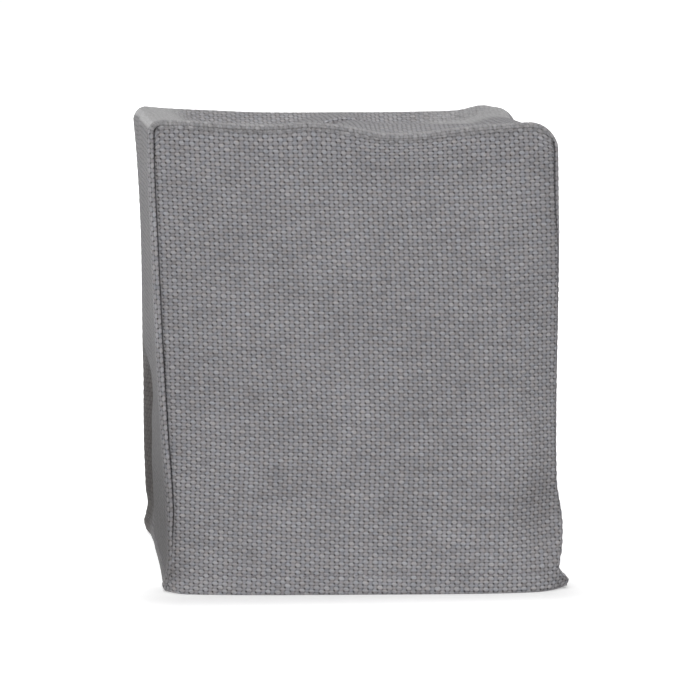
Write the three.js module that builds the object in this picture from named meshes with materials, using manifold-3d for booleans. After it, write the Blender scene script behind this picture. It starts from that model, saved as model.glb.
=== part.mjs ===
// Soft woven cover for an upright cube box of tissues, in millimetres, +Z up.
// The front is at -Y. The cover is hollow, open at the bottom, and stands on its hem.
// It is sewn from three cloths: a front panel, a back panel, and a long gusset strip that
// makes the left side, the top and the right side and carries the tissue slot.

import * as THREE from 'three';
import { mergeVertices } from 'three/addons/utils/BufferGeometryUtils.js';
import Module from 'manifold-3d';

// Driving dimensions
const WIDTH = 118;
const DEPTH = 118;
const HEIGHT = 135.3;
const CLOTH = 1.3;
const HEM_HEIGHT = 5.5;
const HEM_THICKNESS = 2.4;
const SEAM_ROLL = 1.6;
const SEAM_GAP = 0.3;
const SLOT_LENGTH = 66;
const SLOT_WIDTH = 22;
const SLOT_EDGE = 5;
const HALF_WIDTH = WIDTH / 2;
const HALF_DEPTH = DEPTH / 2;

// How far the side walls stand outside the nominal box, for each height: along the front
// edge, along the middle of the side and along the back edge
const LEFT_WALL = [
  { height: 0, front: -1.8, middle: -2.8, back: -1.7 },
  { height: 4, front: -2.6, middle: -2.6, back: -0.7 },
  { height: 10, front: -3.5, middle: -2.4, back: -1.3 },
  { height: 28, front: -3.0, middle: -1.5, back: -0.7 },
  { height: 47, front: -1.7, middle: -0.6, back: -0.6 },
  { height: 70, front: -0.5, middle: 0.3, back: -0.6 },
  { height: 98, front: 0.6, middle: 0.9, back: -0.3 },
  { height: 120, front: 1.5, middle: 1.2, back: 0.8 },
  { height: 135, front: 1.8, middle: 1.8, back: 2.1 },
];
const RIGHT_WALL = [
  { height: 0, front: 1.9, middle: 3.0, back: 2.2 },
  { height: 2, front: 2.0, middle: 2.8, back: 2.0 },
  { height: 6, front: -0.8, middle: 2.4, back: 1.6 },
  { height: 12, front: 0.1, middle: 2.0, back: 1.4 },
  { height: 20, front: 0.5, middle: 1.6, back: 1.2 },
  { height: 32, front: -1.1, middle: 1.2, back: 1.0 },
  { height: 70, front: -0.8, middle: 1.0, back: 1.4 },
  { height: 98, front: -0.6, middle: 1.6, back: 2.2 },
  { height: 120, front: -1.0, middle: 1.6, back: 2.8 },
  { height: 135, front: -1.2, middle: 1.4, back: 3.0 },
];

// How far the front and back cloths stand outside the nominal box at their two seams, and
// how much further they belly out half-way between them
const FRONT_CLOTH = [
  { height: 0, left: 1.8, right: 9.0, belly: 4.2 },
  { height: 15, left: 1.2, right: 6.6, belly: 3.6 },
  { height: 50, left: 0.4, right: 3.0, belly: 2.6 },
  { height: 100, left: 0.0, right: 0.8, belly: 1.4 },
  { height: 128, left: 0.0, right: 0.0, belly: 0.4 },
  { height: 135, left: -0.6, right: -0.6, belly: 0.0 },
];
const BACK_CLOTH = [
  { height: 0, left: 0.6, right: 1.2, belly: 2.2 },
  { height: 60, left: 0.2, right: 0.4, belly: 2.6 },
  { height: 110, left: 0.0, right: 0.0, belly: 1.2 },
  { height: 135, left: -0.6, right: -0.6, belly: 0.0 },
];

// Height of the top above the nominal box along its front and back edges
const TOP_EDGES = [
  { across: -61, front: 1.6, back: 2.1 },
  { across: -50, front: 1.4, back: 1.1 },
  { across: -34, front: 0.3, back: 0.3 },
  { across: -24, front: 0.1, back: -0.2 },
  { across: -14, front: 0.7, back: -0.4 },
  { across: -2, front: -0.7, back: -0.4 },
  { across: 7, front: -2.6, back: -0.4 },
  { across: 18, front: -2.4, back: -0.4 },
  { across: 32, front: -0.8, back: -0.2 },
  { across: 43, front: -0.4, back: 0.0 },
  { across: 51, front: 0.3, back: 1.9 },
  { across: 58, front: 0.0, back: -0.4 },
  { across: 63, front: -0.8, back: -2.2 },
];
const TOP_LEVEL = -0.3;
const EDGE_REACH = 17;

// Sunken places of the top: their four borders, how softly they fall away from the borders
// on the left, right and front, how softly from the back one, and how deep they are
const TOP_DISHES = [
  { left: -54, right: 3, front: -54, back: 57, soft: 17, backSoft: 8, depth: 3.5 },
  { left: 3, right: 56, front: -44, back: 57, soft: 16, backSoft: 8, depth: 3.3 },
  { left: 47, right: 80, front: -54, back: 60, soft: 10, backSoft: 22, depth: 2.4 },
];

// Upright troughs (below zero) and rolls (above zero) in the side walls, each around one
// depth and fading out over its reach above and below one height
const WALL_FOLDS = [
  { side: -1, depth: 49, spread: 4.5, height: 34, reach: 42, rise: -3.0 },
  { side: -1, depth: 35, spread: 8, height: 132, reach: 16, rise: -0.8 },
  { side: -1, depth: -22, spread: 16, height: 52, reach: 60, rise: -0.8 },
  { side: 1, depth: 46, spread: 8, height: 40, reach: 45, rise: -1.6 },
  { side: 1, depth: -40, spread: 7, height: 16, reach: 20, rise: 1.4 },
];

// The same in the front and back cloths, each around one place across
const CLOTH_FOLDS = [
  { face: -1, across: 63, spread: 9, height: 56, reach: 76, rise: -4.4 },
  { face: -1, across: 55, spread: 6, height: 17, reach: 15, rise: -1.8 },
  { face: -1, across: 48, spread: 7, height: 38, reach: 20, rise: 1.0 },
  { face: -1, across: 26, spread: 16, height: 122, reach: 9, rise: -0.7 },
  { face: 1, across: -34, spread: 10, height: 30, reach: 50, rise: -1.4 },
  { face: 1, across: 38, spread: 12, height: 60, reach: 60, rise: -1.2 },
];

// At the foot the front seams turn back around the corners
const FOOT_CURL = { height: 9, reach: 9, left: 9.5, right: 4.5 };

// Radius of the bend at the two upper side edges, at the front and at the back
const UPPER_BEND = {
  left: { front: 3.6, back: 3.8 },
  right: { front: 5.6, back: 4.6 },
};

// Grid steps of the solids. The rows of a wall lie closer together towards the hem
const WALL_STEPS = 17;
const WALL_CROWDING = 1.35;
const BEND_STEPS = 4;
const TOP_STEPS = 26;
const ROLL_STEPS = 2;
const DEPTH_STEPS = 16;

const clamp = THREE.MathUtils.clamp;
const mix = THREE.MathUtils.lerp;

function ramp(value) {
  const t = clamp(value, 0, 1);
  return t * t * (3 - 2 * t);
}

function hump(distance, spread) {
  return Math.exp(-0.5 * (distance / spread) ** 2);
}

// Smooth value of one column of a table at a place along its first column
function read(table, key, column, place) {
  const last = table.length - 1;
  const at = clamp(place, table[0][key], table[last][key]);
  let i = 0;
  while (i < last - 1 && at > table[i + 1][key]) {
    i += 1;
  }
  const slope = (a, b) => (table[b][column] - table[a][column]) / (table[b][key] - table[a][key]);
  const span = table[i + 1][key] - table[i][key];
  const t = (at - table[i][key]) / span;
  const startSlope = i > 0 ? slope(i - 1, i + 1) : slope(i, i + 1);
  const endSlope = i + 1 < last ? slope(i, i + 2) : slope(i, i + 1);
  const start = table[i][column];
  const end = table[i + 1][column];
  return (
    start * (1 + 2 * t) * (1 - t) ** 2 +
    span * startSlope * t * (1 - t) ** 2 +
    end * t * t * (3 - 2 * t) +
    span * endSlope * t * t * (t - 1)
  );
}

// Shape of the cover's outside

function wallFolds(side, depth, height) {
  let rise = 0;
  for (const fold of WALL_FOLDS) {
    if (fold.side === side) {
      const upright = ramp(1 - Math.abs(height - fold.height) / fold.reach);
      rise += fold.rise * hump(depth - fold.depth, fold.spread) * upright;
    }
  }
  return rise;
}

function clothFolds(face, across, height) {
  let rise = 0;
  for (const fold of CLOTH_FOLDS) {
    if (fold.face === face) {
      const upright = ramp(1 - Math.abs(height - fold.height) / fold.reach);
      rise += fold.rise * hump(across - fold.across, fold.spread) * upright;
    }
  }
  return rise;
}

// Distance of a side wall from the middle plane
function wallOut(side, depth, height) {
  const table = side < 0 ? LEFT_WALL : RIGHT_WALL;
  const t = clamp(depth / HALF_DEPTH, -1, 1);
  const front = read(table, 'height', 'front', height);
  const middle = read(table, 'height', 'middle', height);
  const back = read(table, 'height', 'back', height);
  const out = t < 0 ? mix(middle, front, t * t) : mix(middle, back, t * t);
  return HALF_WIDTH + out + wallFolds(side, depth, height);
}

// Distance of the front or back cloth from the middle plane
function clothOut(face, across, height) {
  const table = face < 0 ? FRONT_CLOTH : BACK_CLOTH;
  const t = clamp(across / HALF_WIDTH, -1, 1);
  const left = read(table, 'height', 'left', height);
  const right = read(table, 'height', 'right', height);
  const belly = read(table, 'height', 'belly', height) * (1 - t ** 4);
  const curlSize = across < 0 ? FOOT_CURL.left : FOOT_CURL.right;
  const curlPlace = 1 - (HALF_WIDTH - Math.abs(across)) / FOOT_CURL.reach;
  const curl = curlSize * clamp(curlPlace, 0, 1) ** 2 * ramp(1 - height / FOOT_CURL.height) ** 2;
  const folds = clothFolds(face, across, height);
  return HALF_DEPTH + mix(left, right, (t + 1) / 2) + belly + folds - (face < 0 ? curl : 0);
}

function topHeight(across, depth) {
  const fromFront = ramp(1 - (depth + HALF_DEPTH) / EDGE_REACH);
  const fromBack = ramp(1 - (HALF_DEPTH - depth) / EDGE_REACH);
  const fromSide = ramp((Math.abs(across) - HALF_WIDTH + EDGE_REACH) / EDGE_REACH);
  const front = read(TOP_EDGES, 'across', 'front', across);
  const back = read(TOP_EDGES, 'across', 'back', across);
  const along = mix(front, back, clamp((depth + HALF_DEPTH) / DEPTH, 0, 1));
  const inner = mix(TOP_LEVEL, along, fromSide);
  let height = HEIGHT + mix(mix(inner, front, fromFront), back, fromBack);
  for (const dish of TOP_DISHES) {
    const width = ramp((across - dish.left) / dish.soft) * ramp((dish.right - across) / dish.soft);
    const length = ramp((depth - dish.front) / dish.soft) * ramp((dish.back - depth) / dish.backSoft);
    height -= dish.depth * width * length;
  }
  return height;
}

// The gusset's outside runs up the left wall, over the top and down the right wall.
// Stations of the left or right wall and of its bend, from the hem up
function sideStations(side) {
  const stations = [];
  for (let i = 0; i <= WALL_STEPS; i += 1) {
    stations.push({ part: 'wall', side, at: (i / WALL_STEPS) ** WALL_CROWDING });
  }
  for (let i = 1; i < BEND_STEPS; i += 1) {
    stations.push({ part: 'bend', side, at: i / BEND_STEPS });
  }
  return stations;
}

function topStations() {
  const stations = [];
  for (let i = 0; i <= TOP_STEPS; i += 1) {
    stations.push({ part: 'top', side: 0, at: i / TOP_STEPS });
  }
  return stations;
}

// All stations of the gusset, from hem to hem
function gussetStations() {
  return [...sideStations(-1), ...topStations(), ...sideStations(1).reverse()];
}

// Radius and centre of an upper bend, in the cross-section at one depth
function upperBend(side, depth) {
  const bend = side < 0 ? UPPER_BEND.left : UPPER_BEND.right;
  const radius = mix(bend.front, bend.back, clamp((depth + HALF_DEPTH) / DEPTH, 0, 1));
  const across = side * (wallOut(side, depth, HEIGHT - radius) - radius);
  return { radius, across, height: topHeight(across, depth) - radius };
}

// Point of a cross-section of the gusset, set in from its outside
function sectionPoint(station, depth, inset) {
  if (station.part === 'top') {
    const left = upperBend(-1, depth).across;
    const right = upperBend(1, depth).across;
    const across = mix(left, right, station.at);
    return { across, height: topHeight(across, depth) - inset };
  }
  const bend = upperBend(station.side, depth);
  if (station.part === 'bend') {
    const angle = (station.at * Math.PI) / 2;
    const radius = bend.radius - inset;
    return {
      across: bend.across + station.side * radius * Math.cos(angle),
      height: bend.height + radius * Math.sin(angle),
    };
  }
  const height = station.at * bend.height;
  return { across: station.side * (wallOut(station.side, depth, height) - inset), height };
}

// Where the seam of a face lies at a station: the depth of the cloth there
function seamDepth(station, face) {
  let depth = face * HALF_DEPTH;
  for (let pass = 0; pass < 3; pass += 1) {
    const place = sectionPoint(station, depth, SEAM_ROLL);
    depth = face * clothOut(face, place.across, place.height);
  }
  return depth;
}

// Thickness of a cloth, which doubles over at its hem, away from the corner seams
function thicknessAt(height, fromSeam) {
  const hem = ramp((HEM_HEIGHT + 1 - height) / 1) * ramp((fromSeam - 2) / 4);
  return mix(CLOTH, HEM_THICKNESS, hem);
}

// Thickness of the top, which doubles over around the slot
function topThickness(across, depth) {
  const straight = (SLOT_LENGTH - SLOT_WIDTH) / 2;
  const beyond = Math.max(Math.abs(across) - straight, 0);
  const fromSlot = Math.hypot(beyond, depth) - SLOT_WIDTH / 2;
  return mix(CLOTH, HEM_THICKNESS, ramp((SLOT_EDGE - fromSlot) / 2));
}

// Rows of points of the gusset, one row for each station, outside or inside
function gussetSurface(stations, inside) {
  return stations.map((station) => {
    const front = seamDepth(station, -1);
    const back = seamDepth(station, 1);
    const row = [];
    const push = (depth, inset) => {
      const place = sectionPoint(station, depth, inset);
      row.push(new THREE.Vector3(place.across, depth, place.height));
    };
    const skin = inside ? CLOTH : 0;
    for (let i = 0; i < ROLL_STEPS; i += 1) {
      const angle = ((i / ROLL_STEPS) * Math.PI) / 2;
      const radius = SEAM_ROLL - skin;
      push(front + SEAM_ROLL - radius * Math.cos(angle), SEAM_ROLL - radius * Math.sin(angle));
    }
    for (let i = 0; i <= DEPTH_STEPS; i += 1) {
      const t = i / DEPTH_STEPS;
      const eased = mix(t, 0.5 - 0.5 * Math.cos(Math.PI * t), 0.6);
      const depth = mix(front + SEAM_ROLL, back - SEAM_ROLL, eased);
      const place = sectionPoint(station, depth, 0);
      const fromSeam = Math.min(depth - front, back - depth);
      const wall = station.part === 'wall';
      const thickness = wall ? thicknessAt(place.height, fromSeam) : topThickness(place.across, depth);
      push(depth, inside ? thickness : 0);
    }
    for (let i = ROLL_STEPS - 1; i >= 0; i -= 1) {
      const angle = ((i / ROLL_STEPS) * Math.PI) / 2;
      const radius = SEAM_ROLL - skin;
      push(back - SEAM_ROLL + radius * Math.cos(angle), SEAM_ROLL - radius * Math.sin(angle));
    }
    return row;
  });
}

// Rows of points of the front or back panel, from the hem up, inside the seam line.
// Each upper corner of a panel is the middle of a bend
function panelSurface(face, inside) {
  const inset = SEAM_ROLL + SEAM_GAP;
  const edge = (station) => sectionPoint(station, seamDepth(station, face), inset);
  const half = BEND_STEPS / 2;
  const left = sideStations(-1).slice(0, WALL_STEPS + half + 1).map(edge);
  const right = sideStations(1).slice(0, WALL_STEPS + half + 1).map(edge);
  const leftBend = sideStations(-1).slice(WALL_STEPS + half);
  const rightBend = sideStations(1).slice(WALL_STEPS + half).reverse();
  const top = [...leftBend, ...topStations(), ...rightBend].map(edge);
  const start = top[0];
  const end = top[top.length - 1];
  return left.map((leftPlace, j) => {
    const up = j / (left.length - 1);
    return top.map((topPlace, i) => {
      const t = i / (top.length - 1);
      const blend = (key) =>
        mix(leftPlace[key], right[j][key], t) + up * (topPlace[key] - mix(start[key], end[key], t));
      const across = blend('across');
      const height = blend('height');
      const fromSeam = Math.min(across - leftPlace.across, right[j].across - across) + inset;
      const thickness = inside ? thicknessAt(height, fromSeam) : 0;
      const depth = face * (clothOut(face, across, height) - thickness);
      return new THREE.Vector3(across, depth, height);
    });
  });
}

// Closed solid between an outside and an inside surface with the same rows and columns
function sheetGeometry(outside, inside, flip) {
  const rows = outside.length;
  const columns = outside[0].length;
  const positions = [...outside.flat(), ...inside.flat()].flatMap((p) => p.toArray());
  const outer = (r, c) => r * columns + c;
  const inner = (r, c) => rows * columns + r * columns + c;
  const faces = [];
  const quad = (a, b, c, d) => {
    faces.push(...(flip ? [a, c, b, a, d, c] : [a, b, c, a, c, d]));
  };
  for (let r = 0; r + 1 < rows; r += 1) {
    for (let c = 0; c + 1 < columns; c += 1) {
      quad(outer(r, c), outer(r + 1, c), outer(r + 1, c + 1), outer(r, c + 1));
      quad(inner(r, c), inner(r, c + 1), inner(r + 1, c + 1), inner(r + 1, c));
    }
    quad(outer(r, 0), inner(r, 0), inner(r + 1, 0), outer(r + 1, 0));
    quad(outer(r + 1, columns - 1), inner(r + 1, columns - 1), inner(r, columns - 1), outer(r, columns - 1));
  }
  for (let c = 0; c + 1 < columns; c += 1) {
    quad(outer(0, c), outer(0, c + 1), inner(0, c + 1), inner(0, c));
    quad(outer(rows - 1, c + 1), outer(rows - 1, c), inner(rows - 1, c), inner(rows - 1, c + 1));
  }
  const geometry = new THREE.BufferGeometry();
  geometry.setAttribute('position', new THREE.Float32BufferAttribute(positions, 3));
  geometry.setIndex(faces);
  return geometry;
}

// Long opening with round ends, as a prism that goes right through the top
function slotGeometry() {
  const straight = (SLOT_LENGTH - SLOT_WIDTH) / 2;
  const radius = SLOT_WIDTH / 2;
  const shape = new THREE.Shape();
  shape.absarc(straight, 0, radius, -Math.PI / 2, Math.PI / 2, false);
  shape.absarc(-straight, 0, radius, Math.PI / 2, (3 * Math.PI) / 2, false);
  shape.closePath();
  const prism = new THREE.ExtrudeGeometry(shape, { depth: HEIGHT, bevelEnabled: false, curveSegments: 8 });
  prism.translate(0, 0, HEIGHT / 2);
  return prism;
}

const wasm = await Module();
wasm.setup();

function toSolid(geometry) {
  const bare = geometry.clone();
  bare.deleteAttribute('normal');
  bare.deleteAttribute('uv');
  const merged = mergeVertices(bare, 1e-4);
  const vertProperties = Float32Array.from(merged.attributes.position.array);
  const triVerts = Uint32Array.from(merged.index.array);
  return new wasm.Manifold(new wasm.Mesh({ numProp: 3, vertProperties, triVerts }));
}

function toGeometry(solid) {
  const mesh = solid.getMesh();
  const geometry = new THREE.BufferGeometry();
  geometry.setAttribute('position', new THREE.Float32BufferAttribute(mesh.vertProperties, 3));
  geometry.setIndex([...mesh.triVerts]);
  return geometry;
}

function makeGusset() {
  const stations = gussetStations();
  const strip = sheetGeometry(gussetSurface(stations, false), gussetSurface(stations, true), false);
  return toGeometry(toSolid(strip).subtract(toSolid(slotGeometry())));
}

function makePanel(face) {
  return sheetGeometry(panelSurface(face, false), panelSurface(face, true), face < 0);
}

function cloth(color) {
  return new THREE.MeshStandardMaterial({ color, roughness: 0.95, metalness: 0 });
}

function named(name, geometry, material) {
  geometry.computeVertexNormals();
  const mesh = new THREE.Mesh(geometry, material);
  mesh.name = name;
  return mesh;
}

const cover = new THREE.Group();
cover.add(named('front_panel', makePanel(-1), cloth(0x86858a)));
cover.add(named('back_panel', makePanel(1), cloth(0x848388)));
cover.add(named('gusset', makeGusset(), cloth(0x98969a)));

// The origin is at floor level under the middle of the cover
const middle = new THREE.Box3().setFromObject(cover).getCenter(new THREE.Vector3());
cover.position.set(-middle.x, -middle.y, 0);
cover.updateMatrixWorld(true);

export default cover;
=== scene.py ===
# Looks of a soft woven cover for an upright cube box of tissues, on a pale floor.
# It is sewn from a front panel, a back panel and a long gusset strip, each built here as one
# closed sheet on the hanging form of its solid, with the relief of its yarns.
# Sizes are in millimetres until a mesh is made, and the front is at -Y.

from math import pi, radians

import bmesh
import bpy
import numpy as np
from mathutils import Matrix, Vector


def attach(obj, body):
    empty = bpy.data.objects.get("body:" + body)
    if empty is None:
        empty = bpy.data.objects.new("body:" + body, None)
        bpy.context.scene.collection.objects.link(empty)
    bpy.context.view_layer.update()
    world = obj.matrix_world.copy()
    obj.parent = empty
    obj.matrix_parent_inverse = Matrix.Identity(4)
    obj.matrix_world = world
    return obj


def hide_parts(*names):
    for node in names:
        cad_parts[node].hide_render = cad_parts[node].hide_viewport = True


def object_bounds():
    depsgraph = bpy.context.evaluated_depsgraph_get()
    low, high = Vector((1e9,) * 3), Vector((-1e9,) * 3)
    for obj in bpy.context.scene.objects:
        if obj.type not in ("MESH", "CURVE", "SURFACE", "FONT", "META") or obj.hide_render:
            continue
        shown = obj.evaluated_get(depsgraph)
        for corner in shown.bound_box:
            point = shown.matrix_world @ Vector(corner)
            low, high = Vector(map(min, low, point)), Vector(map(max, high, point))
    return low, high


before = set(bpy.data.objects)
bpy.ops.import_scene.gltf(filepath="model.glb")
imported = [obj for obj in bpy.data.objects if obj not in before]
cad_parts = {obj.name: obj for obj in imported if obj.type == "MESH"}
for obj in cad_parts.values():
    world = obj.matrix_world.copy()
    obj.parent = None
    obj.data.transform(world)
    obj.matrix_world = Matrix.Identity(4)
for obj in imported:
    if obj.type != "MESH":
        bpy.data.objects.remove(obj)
cad_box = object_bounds()

MM = 0.001

# Camera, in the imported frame
CAMERA_PLACE = (-100.3, -1081.4, 175.0)
CAMERA_AIM = (2.45, 4.0, 64.2)
CAMERA = dict(lens=184.1, sensor_width=36.0, sensor_fit="HORIZONTAL", clip_start=0.01, clip_end=200.0)

# Driving dimensions of the cover. Here and below, a pair whose name has no other meaning is a
# fade: where it starts or ends, and its length.
WIDTH = 118.0
DEPTH = 118.0
HEIGHT = 135.3
CLOTH = 1.3
HEM_HEIGHT = 5.5
HEM_THICKNESS = 2.4
HEM_FROM_SEAM = (2.0, 4.0)
SEAM_ROLL = 1.6
SEAM_ROOM = dict(least=0.1, slope=0.6)
SLOT_LENGTH = 66.0
SLOT_WIDTH = 22.0
SLOT_EDGE = (5.0, 2.0)
SLOT_RADIUS = SLOT_WIDTH / 2
SLOT_STRAIGHT = SLOT_LENGTH / 2 - SLOT_RADIUS
SLOT_ARC = pi * SLOT_RADIUS
HALF_WIDTH = WIDTH / 2
HALF_DEPTH = DEPTH / 2

# The weave: spacing of the upright yarns and of the level ones, how high they stand, and how
# uneven the level ones are in thickness
WARP_PITCH = 1.40
WEFT_PITCH = 1.006
YARN_WAVE = 0.19
WEFT_CROWN = 0.18
WARP_CROWN = 0.10
WARP_SUNK = 0.10
WEAVE_MIDDLE = 0.1
THICKNESS_SPREAD = 0.18
THICKNESS_YARNS = 4

# How far the yarns stray to the right and up, in two layers each: how far, and over how many
# yarns across and along that changes
STRAY_RIGHT = ((0.09, 1, 7), (0.16, 21, 25))
STRAY_UP = ((0.11, 5, 1), (0.20, 23, 19))
NOISE_TABLE = 512

# How far the side walls stand outside the nominal box, for each height: along the front
# edge, along the middle of the side and along the back edge
LEFT_WALL = {
    "height": (0, 4, 10, 28, 47, 70, 98, 120, 135),
    "front": (-1.8, -2.6, -3.5, -3.0, -1.7, -0.5, 0.6, 1.5, 1.8),
    "middle": (-2.8, -2.6, -2.4, -1.5, -0.6, 0.3, 0.9, 1.2, 1.8),
    "back": (-1.7, -0.7, -1.3, -0.7, -0.6, -0.6, -0.3, 0.8, 2.1),
}
RIGHT_WALL = {
    "height": (0, 2, 6, 12, 20, 32, 70, 98, 120, 135),
    "front": (1.9, 2.0, -0.8, 0.1, 0.5, -1.1, -0.8, -0.6, -1.0, -1.2),
    "middle": (3.0, 2.8, 2.4, 2.0, 1.6, 1.2, 1.0, 1.6, 1.6, 1.4),
    "back": (2.2, 2.0, 1.6, 1.4, 1.2, 1.0, 1.4, 2.2, 2.8, 3.0),
}

# How far the front and back cloths stand outside the nominal box at their two seams, and
# how much further they belly out half-way between them
FRONT_CLOTH = {
    "height": (0, 15, 50, 100, 128, 135),
    "left": (1.8, 1.2, 0.4, 0.0, 0.0, -0.6),
    "right": (9.0, 6.6, 3.0, 0.8, 0.0, -0.6),
    "belly": (4.2, 3.6, 2.6, 1.4, 0.4, 0.0),
}
BACK_CLOTH = {
    "height": (0, 60, 110, 135),
    "left": (0.6, 0.2, 0.0, -0.6),
    "right": (1.2, 0.4, 0.0, -0.6),
    "belly": (2.2, 2.6, 1.2, 0.0),
}

# Height of the top above the nominal box along its front and back edges
TOP_EDGES = {
    "across": (-61, -50, -34, -24, -14, -2, 7, 18, 32, 43, 51, 58, 63),
    "front": (1.6, 1.4, 0.3, 0.1, 0.7, -0.7, -2.6, -2.4, -0.8, 0.0, 0.35, 0.1, -0.8),
    "back": (2.1, 1.1, 0.3, -0.2, -0.4, -0.4, -0.4, -0.4, -0.2, 0.2, 1.8, 0.4, -1.2),
}
TOP_LEVEL = -0.3
EDGE_REACH = 17.0

# Sunken places of the top: their left, right, front and back borders, how softly they fall away
# from the first three and from the back one, and how deep they are
TOP_DISHES = (
    (-54, 3, -54, 57, 17, 8, 3.5),
    (3, 56, -44, 57, 16, 8, 3.3),
    (47, 80, -54, 60, 10, 22, 2.4),
)

# Upright troughs (below zero) and rolls (above zero) of the left and right walls: each one's
# place in depth, its spread, the height around which it fades out, its reach and its rise
WALL_FOLDS = {
    -1: (
        (47, 4.8, 30, 38, -2.9),
        (33, 8.5, 30, 38, -3.0),
        (47, 4.8, 50, 14, -1.9),
        (33, 8.5, 50, 14, -2.0),
        (12, 12, 53, 13, -1.6),
        (12, 12, 40, 12, -0.6),
        (60, 7, 9, 6, -0.7),
        (35, 8, 132, 16, -0.8),
        (-22, 16, 52, 60, -0.8),
    ),
    1: ((46, 8, 40, 45, -1.6), (-40, 7, 16, 20, 1.4)),
}

# The same in the front and back cloths, with the place across
CLOTH_FOLDS = {
    -1: (
        (63, 9, 56, 76, -5.8),
        (56, 6, 20, 20, -2.2),
        (48, 7, 38, 20, 1.0),
        (25, 19, 118, 13, -1.1),
    ),
    1: ((-34, 10, 30, 50, -1.4), (38, 12, 60, 60, -1.2)),
}

# At the foot the front seams turn back around the corners. Both corners are lifted off the
# floor: the place across with its width, the one in depth with its length, the height and rise.
FOOT_CURL = dict(height=9, reach=9, left=9.5, right=4.5)
FOOT_LIFT = ((-62, 7, -51, 7, 14, 2.8), (62, 4, -58, 7, 8, 1.3))

# The front seam along the strip, from 0 at its left foot over the top to 5 at its right foot:
# the radius of the roll beside it and the width of its dark line, which hardly shows on the
# right, where the front cloth pulls it round the edge
FRONT_SEAM = {
    "place": (0, 0.13, 0.18, 0.85, 1.3, 1.7, 1.9, 3.2, 3.6, 3.8, 4.12, 4.22, 4.5, 5),
    "roll": (0.9, 1.1, 1.6, 1.6, 1.6, 1.6, 1.6, 1.3, 0.9, 0.75, 0.75, 0.3, 0.2, 0.2),
    "gap": (-0.06, -0.06, 0.25, 0.25, 0.4, 0.1, -0.08, -0.08, -0.08, 0.2, 0.3, 0.05, 0.0, 0.0),
}
BACK_GAP = 0.3
SEAM_RAGGED = dict(reach=0.09, seed=71, changes=90)

# Radius of the left and the right upper bend, at the front and at the back
BENDS = {-1: (3.6, 3.8), 1: (8.0, 7.0)}

# The grain of the front cloth at each height: how far its upright yarns stand to the right,
# how steeply its level yarns fall to the right in the middle, and how fast that changes across
GRAIN = {
    "height": (0, 12, 24, 37, 46, 65, 93, 107, 120, 135),
    "right": (1.5, 2.0, 2.45, 2.85, 2.9, 2.5, 1.85, 1.25, 0.65, 0.0),
    "fall": (0.049, 0.048, 0.046, 0.042, 0.038, 0.032, 0.021, 0.016, 0.011, 0.006),
    "turn": (8.3e-4, 8.3e-4, 8e-4, 6e-4, 5e-4, 1.5e-4, 5.5e-4, 7e-4, 9e-4, 9e-4),
}
EDGE_FALL = dict(across=41.0, slope=0.015)
EDGE_GRAIN = 11.0

# How the cloths sink into their seams and round off at the hem. The side groove ends above the
# foot, and on the right below the top.
SIDE_GROOVE = dict(depth=0.85, width=1.3)
GROOVE_FOOT = (9.0, 10.0)
GROOVE_TOP = (HEIGHT - 3.0, 3.0)
TOP_GROOVE = dict(depth=0.02, width=1.2)
HEM_ROUND = dict(depth=0.8, width=1.0)
HEM_DENT = dict(depth=0.22, spread=0.7)
PLAIN_EDGE = 0.3

# Points of the outsides: distances in from an edge, shares of an upright and of a level yarn,
# first and last yarns of the panels, parts of the strip's plain middle, and how near to each
# other two points become one
BORDER_STEPS = (0.0, 0.25, 0.55, 0.9)
COLUMN_STEPS = (0.18, 0.82)
ROW_STEPS = (0.0, 0.28, 0.72)
PANEL_COLUMNS = (-46, 46)
PANEL_ROWS = (-6, 142)
MIDDLE_PARTS = 100
SAME_POINT = 1 / 2000

# Points of the insides: shares of the panels' height and distances from the strip's ends,
# close together where the hem ends, and how many points are between and across
PANEL_INSIDE = dict(hem=(0, 0.02, 0.038, 0.043, 0.048, 0.053), first=0.08, up=38, across=40)
STRIP_INSIDE = dict(ends=(0, 2, 4, 5.2, 5.6, 6.0, 6.4, 6.8, 9), first=12, along=118, across=37)
LEAST_SKIN = 0.05

# How many points the seams, the strip's length and the slot are measured or made with, how much
# wider than the slot the holes in the grids are, and how often a place is corrected
SEAM_POINTS = dict(side=400, top=600)
LENGTH_POINTS = 4001
RING_POINTS = dict(around=181, turn=9)
HOLE_MARGIN = dict(outside=0.6, inside=0.4)
ROUNDS = dict(seam=3, outside=9, inside=6)

# The strip has its relief in the mesh near its front seam and, weaker, near its back seam: over
# how many yarns, and how softly it ends. Its yarns don't stray at its edges.
FINE_FRONT = (8, 1.5)
FINE_BACK = (4, 1.2)
FINE_BACK_SHARE = 0.6
FUZZ_FLATTENS = 0.8
STRAIGHT_EDGE = 3.0

# How the strip turns in beyond a seam: distances back and in, for a roll of radius 1
TUCK = np.array([(0.15, 1.05), (0.37, 1.075), (0.62, 1.075)])

# How much of the weave loose fibres hide, and where along the strip: start, end, rise and fall,
# as places like those of the front seam. Beside the seams of the top they cover a crest. The same
# shares paint light on the fuzz: darker where they are low, as on the sides, and lighter at the
# top corners and crests.
FUZZ_AND_PAINTED_LIGHT = dict(side=0.6, top=0.35, left_corner=1.0, right_corner=0.88, crest=0.78)
ON_TOP = (0.9, 3.9, 0.4, 0.3)
ON_SIDE = (-1, 1.6, 1, 0.5)
ON_LEFT_CORNER = (0.8, 2.25, 0.6, 0.22)
ON_RIGHT_CORNER = (2.62, 3.8, 0.25, 0.5)
RIGHT_CORNER_DEPTH = (-10.0, 50.0)
SIDE_FROM_SEAM = (7.0, 4.0)
CREST_FRONT = (8.0, 5.0)
CREST_BACK = (7.0, 4.0)
PANEL_CREST = (2.2, 2.2)

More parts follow.
